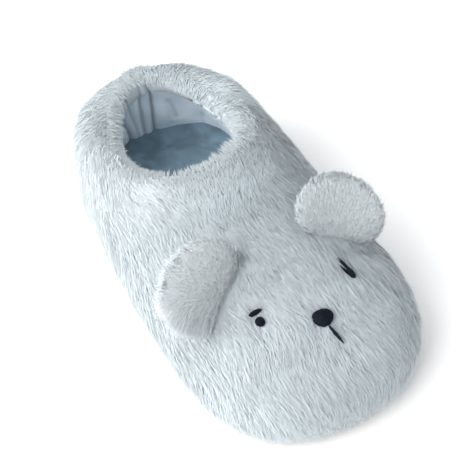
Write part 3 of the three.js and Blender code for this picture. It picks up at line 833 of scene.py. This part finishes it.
for name, (start, end) in fur["sections"].items():
    middle = (start + end) / 2
    offset = (np.arange(around) / around - middle + 0.5) % 1 - 0.5
    inside = (np.abs(offset) <= (end - start) / 2).astype(float)
    weight = inside[None] * np.ones((len(furGrid), 1))
    root, normal, nap, share = scatter(
        furGrid, (furNormal, furNap, rowShare[..., None]), weight, fur["locks"]
    )
    normal, nap, share = unit(normal), unit(nap), share[:, 0]
    count = len(root)
    # the head's creases sink the roots and also darken the tone as painted shade
    dentAndShade = creaseDepth(root)
    root = root - normal * (dentAndShade * fur["creaseDepth"] * milli)[:, None]
    nap = turned(nap, normal, wandering(root, "swirl"))
    clear = markDistance(root)
    ahead = markDistance(root + nap * 5 * milli)
    trim = np.clip(np.minimum(clear, ahead) / fur["trimReach"], fur["trimShortest"], 1)
    keep = clear > fur["trimBare"]
    lengthSize, lengthWave = fur["lengthWaves"]
    lock = {
        "root": root, "normal": normal, "nap": nap,
        "length": fur["length"] * trim * (1 + lengthWave * softNoise(root, lengthSize, 1)),
        "lean": fur["lean"] + wandering(root, "lean", 2),
        "tone": 0.5 + wandering(root, "tone", 3),
        "tilt": random.normal(size=(count, 3)) * fur["tilt"],
    }
    # the pile lies flatter and more evenly down the sides
    topSide = np.clip(normal[:, 2] * 1.5, 0, 1)
    lock["lean"] = lock["lean"] - fur["sideLean"] * (1 - topSide)
    lock["tone"] = 0.5 + (lock["tone"] - 0.5) * (0.5 + 0.5 * topSide)
    # at the lining's edge it turns over and stands as a fringe, most at the front
    onRoll, fringe = ramp(share, *zones["roll"]), ramp(share, *zones["fringe"])
    front = ramp(-root[:, 1], *zones["front"])
    inwards = np.array([0, collarY * milli, fringeForm["aimHeight"]]) - root
    inwards = unit(inwards - normal * (inwards * normal).sum(1)[:, None])
    lock["nap"] = np.where(fringe[:, None] > 0.5, inwards, nap)
    lean, frontLean = fringeForm["lean"]
    lock["lean"] = lock["lean"] + fringe * (lean + frontLean * front)
    lock["gather"] = (1 - 0.9 * fringe) * (0.2 + 0.8 * topSide)
    uneven = random.uniform(-fringeForm["uneven"], fringeForm["uneven"], count)
    tall = fringeForm["frontShare"] + fringeForm["innerGain"] * ramp(root[:, 0], *zones["inner"])
    sideCut = fringeForm["sideCut"] * fringe * (1 - front)
    lock["length"] = lock["length"] * (1 - fringeForm["rollCut"] * onRoll) * (1 - sideCut)
    lock["length"] = lock["length"] * (1 + fringe * uneven) * (1 - fringe * front * (1 - tall))
    # over the ridge the tips bend down with the roll
    over = ramp(share, *zones["over"]) * (1 - fringe)
    stand, frontStand = fringeForm["stand"]
    lock["stand"] = fringe * (stand + frontStand * front) - fringeForm["tipsDown"] * over
    # painted shade makes the vamp a little darker than the toe and the sides, a painted highlight
    # makes the collar's outer side paler, and painted shade darkens the fur along the head's
    # creases
    outer = ramp(-root[:, 0], *zones["outer"])
    vampShade = ramp(root[:, 1], *zones["vampShade"]) * topSide * (1 - outer)
    collarHighlight = outer * ramp(root[:, 2], *zones["collarUp"]) * ramp(root[:, 1], *zones["collarBack"])
    lock["tone"] += tones["collarHighlight"] * collarHighlight - tones["vampShade"] * vampShade - tones["dentAndShade"] * dentAndShade
    lock = {key: value[keep] for key, value in lock.items()}
    growStrands(name, lock, bodyStrands, furMaterial, "plush_fur")

# Ears
earForm = {
    "size": np.array([50, 45, 15]), "cup": 5, "cupMiddle": 0.3, "sink": 11, "pile": 2.6,
}
earHalf = earForm["size"] / 2 - earForm["pile"]
earStrands = {
    "perLock": 9, "spread": 1.1, "stray": 0.28, "leanStray": 0.12, "layDown": 0.4,
    "bendAt": 0.45, "gather": 0.1, "twist": 0.3, "width": 0.36, "floor": 0.6,
    "shadeStray": 0.06, "toneStray": 0.05,
}
earLocks = {"count": 2900, "length": 4.5, "lean": 0.5, "headGain": 0.9, "headLean": 0.2}


def earPlace(ear):
    point = onSurface(ear["x"], earY)[0]
    along = Vector(ear["root"]).normalized()
    rise = Vector(ear["rise"]).normalized()
    front = along.cross(rise).normalized()
    if front.y > 0:
        front = -front
    middle = point + rise * ((earForm["size"][1] / 2 - earForm["sink"]) * milli)
    return np.array(along), np.array(rise), np.array(front), np.array(middle)


def earPoint(ball):
    # places on the padded flap for points of a unit ball, in millimetres
    curl = earForm["cup"] * (ball[:, 0] ** 2 - earForm["cupMiddle"])
    flap = ball * earHalf
    flap[:, 2] += curl
    slope = ball / earHalf
    slope[:, 0] -= slope[:, 2] * 2 * earForm["cup"] * ball[:, 0] / earHalf[0]
    return flap, unit(slope)


for ear in ears:
    along, rise, front, middle = earPlace(ear)
    basis = np.stack([along, rise, front])
    shell = bmesh.new()
    bmesh.ops.create_uvsphere(shell, u_segments=48, v_segments=28, radius=1)
    ball = np.array([vertex.co for vertex in shell.verts])
    flap = earPoint(ball)[0]
    for vertex, place in zip(shell.verts, (flap @ basis) * milli + middle):
        vertex.co = place
    shell.normal_update()
    bmesh.ops.recalc_face_normals(shell, faces=list(shell.faces))
    pad = pieceFrom(shell, f"{ear['name']}_pad", earSkinMaterial)
    finishPiece(pad, "ear_fur", ear["name"], padded=0.6)
    ball = unit(random.normal(size=(earLocks["count"] * 2, 3)))
    flap, normal = earPoint(ball)
    # as many locks by area on the flat faces as on the rim
    stretch = np.linalg.norm(ball * (earHalf.prod() / earHalf), axis=1)
    chance = stretch / stretch.sum()
    chosen = random.choice(len(ball), size=earLocks["count"], replace=False, p=chance)
    ball, flap, normal = ball[chosen], flap[chosen], normal[chosen]
    count = len(ball)
    # the lying ear's outer end rests on the head, where the two furs run together
    onHead = ear["lies"] * ramp(-ball[:, 0], 0.25, 0.5)
    outward = np.stack([ball[:, 0] * 0.5, ball[:, 1] * 0.4 + 0.9, ball[:, 2] * 0], 1)
    outward = outward + (np.array([-0.7, 0.1, -0.9]) - outward) * onHead[:, None]
    nap = unit(outward - normal * (outward * normal).sum(1)[:, None])
    root = (flap @ basis) * milli + middle
    onHeadGain = 1 + earLocks["headGain"] * onHead
    lean = earLocks["lean"] - earLocks["headLean"] * onHead
    lock = {
        "root": root, "normal": normal @ basis, "nap": nap @ basis,
        "length": earLocks["length"] * (1 + 0.15 * softNoise(root, 15)) * onHeadGain,
        "lean": lean + 0.08 * random.normal(size=count),
        "gather": np.ones(count),
        "stand": np.zeros(count),
        "tone": ear["tone"] + 0.04 * softNoise(root, 18, 3) + 0.05 * random.normal(size=count),
        "tilt": random.normal(size=(count, 3)) * 0.04,
    }
    growStrands(f"{ear['name']}_fur", lock, earStrands, earFurMaterial, "ear_fur")
print("ears made")

# Lining and footbed
lining = {
    "turns": (72, 86, 100),
    "drop": 3.8,
    "directions": 480,
    "puff": 5.4,
    "gatherPuff": 1.6,
    "depth": 3.8,
    "troughWidth": 0.042,
    "lineWidth": 0.015,
    "gap": 0.2,
    "softFolds": 26,
    "foldLean": 0.08,
    "foldRanges": ((0.15, 0.0, 0.55), (0.4, 0.2, 1.0)),
    "gatheredPart": (2.6, 3.9),
    "bigRipple": 0.8,
    "smallRipple": 0.35,
    "edgeShade": 0.85,
    "pucker": 0.3,
    "puckers": 61,
    "puckerShade": 0.35,
}
# Stitched-down creases: direction at the top and at the footbed in radians, strength, and the
# shares of the depth where each begins and ends. Soft folds of the same kind are added elsewhere.
gathers = [
    (3.03, 3.08, 1.0, 0.02, 1.0), (3.19, 3.16, 0.75, 0.03, 1.0), (3.38, 3.21, 0.5, 0.10, 1.0),
    (3.52, 3.27, 1.0, 0.0, 1.0), (3.62, 3.40, 0.7, 0.0, 1.0), (3.76, 3.56, 0.6, 0.0, 1.0),
    (3.00, 2.89, 0.35, 0.42, 0.82), (2.70, 2.70, 0.3, 0.75, 1.0),
]
for _ in range(lining["softFolds"]):
    middle = random.uniform(0.1, 6.2)
    if not lining["gatheredPart"][0] < middle < lining["gatheredPart"][1]:
        top, low = middle + random.uniform(-lining["foldLean"], lining["foldLean"], 2)
        gathers.append((top, low, *random.uniform(*lining["foldRanges"])))
fine = np.arange(lining["directions"]) / lining["directions"] * around


def finer(ring):
    # the same ring with a point in each of the lining's directions
    columns = [np.interp(fine, np.arange(around), column, period=around) for column in ring.T]
    return np.stack(columns, axis=1)


liningTop = rollRings(lining["turns"], form["rollInset"], lining["drop"], form["rollRadius"])
liningGrid = np.concatenate([liningTop, liningRings(lining["gap"])])
liningGrid = np.stack([finer(ring) for ring in liningGrid])
angle = fine / around * 2 * math.pi
rowAt = np.linspace(0, 1, len(liningGrid))[:, None]
middle = np.array([0, collarY, 0])
inward = unit((middle - liningGrid) * (1, 1, 0))
# the gathers sink the cloth in troughs, and thin lines of painted shade darken them
trough = np.zeros((len(liningGrid), len(angle)))
paintedShade = trough.copy()
for top, low, strength, begin, end in gathers:
    place = low + (top - low) * (1 - rowAt) ** 2
    ends = np.clip((rowAt - begin) / 0.08 + 0.3, 0, 1) * np.clip((end - rowAt) / 0.08 + 0.3, 0, 1)
    off = np.abs(angle[None] - place)
    trough = np.maximum(trough, strength * ends * np.exp(-off / lining["troughWidth"]))
    paintedShade = np.maximum(paintedShade, strength * ends * np.exp(-((off / lining["lineWidth"]) ** 2)))
gathered = ramp(angle, 2.7, 0.4) * ramp(-angle, -4.2, 0.5)
fold = lining["puff"] * np.sin(math.pi * rowAt) ** 0.6
fold = fold + lining["gatherPuff"] * gathered[None] * ramp(rowAt, 0, 0.12)
fold = fold - lining["depth"] * trough
# painted shade along the top edge, where the fur's fringe overhangs it
paintedShade = np.maximum(paintedShade, lining["edgeShade"] * ramp(-rowAt, -0.2, 0.16))
big = np.sin(angle * 13 + 5 * rowAt) * np.sin(rowAt * 8 + angle * 4)
small = np.sin(angle * 29 - 7 * rowAt + 2 * np.sin(angle * 5))
ripple = lining["bigRipple"] * big + lining["smallRipple"] * small
ripple = ripple * ramp(rowAt, 0.08, 0.15) * ramp(-rowAt, -1, 0.15)
# the front edge, where the cloth turns the tightest bend, puckers along its seam
pucker = np.sin(angle * lining["puckers"] + 2 * np.sin(angle * 7))
pucker = pucker * ramp(-np.abs(rowAt - 0.05), -0.06, 0.06) * np.clip(np.cos(angle) * 1.5, 0, 1)
ripple = ripple + lining["pucker"] * pucker
# painted shade in the puckers' hollows
paintedShade = np.maximum(paintedShade, lining["puckerShade"] * np.clip(-pucker, 0, 1))
liningGrid = liningGrid + inward * (fold + ripple)[..., None]
liningShell = drawRings(placed(liningGrid), outwards=False, paintedShades=paintedShade)
liningPiece = pieceFrom(liningShell, "lining", liningMaterial)
finishPiece(liningPiece, "lining_satin")

footbed = {
    "thickness": 8,
    "heelPad": 12,
    "padStart": 0.36,
    "padEnd": 0.78,
    "bottom": 7.3,
    "gap": 0.3,
    "cup": 2.4,
    "cupShare": 0.35,
    "edge": 1.6,
    "edgeShare": 0.05,
    "tilt": 0.05,
    "rings": 26,
    "spineShare": 0.985,
}
edge = outline(form["wall"] + footbed["gap"])
spine = edge.copy()
spine[:, 0] = 0
padAt = ramp(edge[:, 1], toeY, form["length"])
padAt = ramp(padAt, footbed["padStart"], footbed["padEnd"] - footbed["padStart"])
heelPad = footbed["heelPad"] * padAt**2 * (3 - 2 * padAt)
bedRings = []
for k in range(footbed["rings"] + 1):
    share = k / footbed["rings"]
    ring = edge * (1 - share) + spine * share * footbed["spineShare"]
    rise = footbed["cup"] * max(0, 1 - share / footbed["cupShare"]) ** 2
    rounding = footbed["edge"] * (1 - min(1, share / footbed["edgeShare"])) ** 2
    ring[:, 2] = footbed["bottom"] + footbed["thickness"] + heelPad + rise - rounding
    ring[:, 2] += liftAt(edge[:, 1]) - footbed["tilt"] * ring[:, 0] * padAt
    bedRings.append(ring)
bottomRing = edge.copy()
bottomRing[:, 2] = footbed["bottom"] + liftAt(edge[:, 1])
bedShell = drawRings(placed(np.array([bottomRing, *bedRings])))
bmesh.ops.remove_doubles(bedShell, verts=list(bedShell.verts), dist=0.0002)
footbedPiece = pieceFrom(bedShell, "footbed", footbedMaterial)
finishPiece(footbedPiece, "footbed_cloth", "insole", padded=0.8)
print("lining and footbed made")

# Stitched marks
stitch = {"pitch": 0.7, "relief": 0.08, "edgeRelief": 0.05, "sink": 2, "crown": 1.5}
for mark in marks:
    point, across, up, normal = onSurface(mark["x"], mark["y"])
    width, length, bulge = mark["size"]
    shell = bmesh.new()
    bmesh.ops.create_uvsphere(shell, u_segments=48, v_segments=24, radius=1)
    for vertex in shell.verts:
        ridge = 1 + stitch["relief"] * math.sin(vertex.co.x * width * math.pi / stitch["pitch"])
        vertex.co.x *= 1 + mark["taper"] * vertex.co.y
        vertex.co.z *= ridge
        edgeWave = math.sin(vertex.co.x * width * math.pi / stitch["pitch"])
        vertex.co.y *= 1 + stitch["edgeRelief"] * edgeWave
    turn = Matrix.Rotation(math.radians(mark["turn"]), 4, "Z")
    height = bulge + stitch["crown"]
    scale = Matrix.Diagonal((width / 2 * milli, length / 2 * milli, height * milli, 1))
    basis = Matrix((across, up, normal)).transposed().to_4x4()
    basis.translation = point - normal * (stitch["sink"] * milli)
    bmesh.ops.transform(shell, matrix=basis @ turn @ scale, verts=list(shell.verts))
    piece = pieceFrom(shell, f"{mark['name']}_stitch", threadMaterial)
    finishPiece(piece, "face_thread", mark["name"])
print("face made")

nodes["outsole"].data.materials.clear()
nodes["outsole"].data.materials.append(soleMaterial)

# Floor, light and camera
floorMesh = bmesh.new()
bmesh.ops.create_grid(floorMesh, x_segments=1, y_segments=1, size=3)
floorMaterial, _, floorShader = newMaterial("paleFloor")
floorShader.inputs["Base Color"].default_value = (0.93, 0.93, 0.93, 1)
floorShader.inputs["Roughness"].default_value = 0.9
floorPiece = pieceFrom(floorMesh, "floor", floorMaterial)

studio = {"world": 0.95, "worldColour": (0.97, 0.985, 1, 1)}
lamp = {"place": (-1.3, -0.05, 0.95), "size": 2.0, "power": 46, "colour": (1, 0.975, 0.94)}
world = bpy.data.worlds.new("studio")
bpy.context.scene.world = world
world.use_nodes = True
background = world.node_tree.nodes["Background"]
background.inputs["Color"].default_value = studio["worldColour"]
background.inputs["Strength"].default_value = studio["world"]
light = bpy.data.lights.new("key", "AREA")
light.shape = "DISK"
light.size = lamp["size"]
light.energy = lamp["power"]
light.color = lamp["colour"]
holder = bpy.data.objects.new("key", light)
holder.location = lamp["place"]
holder.rotation_euler = (-Vector(lamp["place"])).to_track_quat("-Z", "Y").to_euler()
bpy.context.scene.collection.objects.link(holder)

camera = {
    "place": Vector((-0.1411, -0.3223, 0.4107)),
    "aim": Vector((0.003, -0.001, 0.033)),
    "photoForward": Vector((0.38425, 0.57152, -0.72507)),
    "photoUp": Vector((0.41847, 0.59289, 0.68802)),
    "lens": 68,
}
forward = (camera["aim"] - camera["place"]).normalized()
swing = camera["photoForward"].rotation_difference(forward)
up = swing @ camera["photoUp"]
right = forward.cross(up).normalized()
up = right.cross(forward)
lens = bpy.data.cameras.new("camera")
lens.lens = camera["lens"]
lens.sensor_width = 36
lens.clip_start = 0.01
lens.clip_end = 20
viewer = bpy.data.objects.new("camera", lens)
turn = Matrix((right, up, -forward)).transposed().to_4x4()
turn.translation = camera["place"]
viewer.matrix_world = turn
bpy.context.scene.collection.objects.link(viewer)
bpy.context.scene.camera = viewer
bpy.context.scene.view_settings.view_transform = "Standard"
print("studio set")
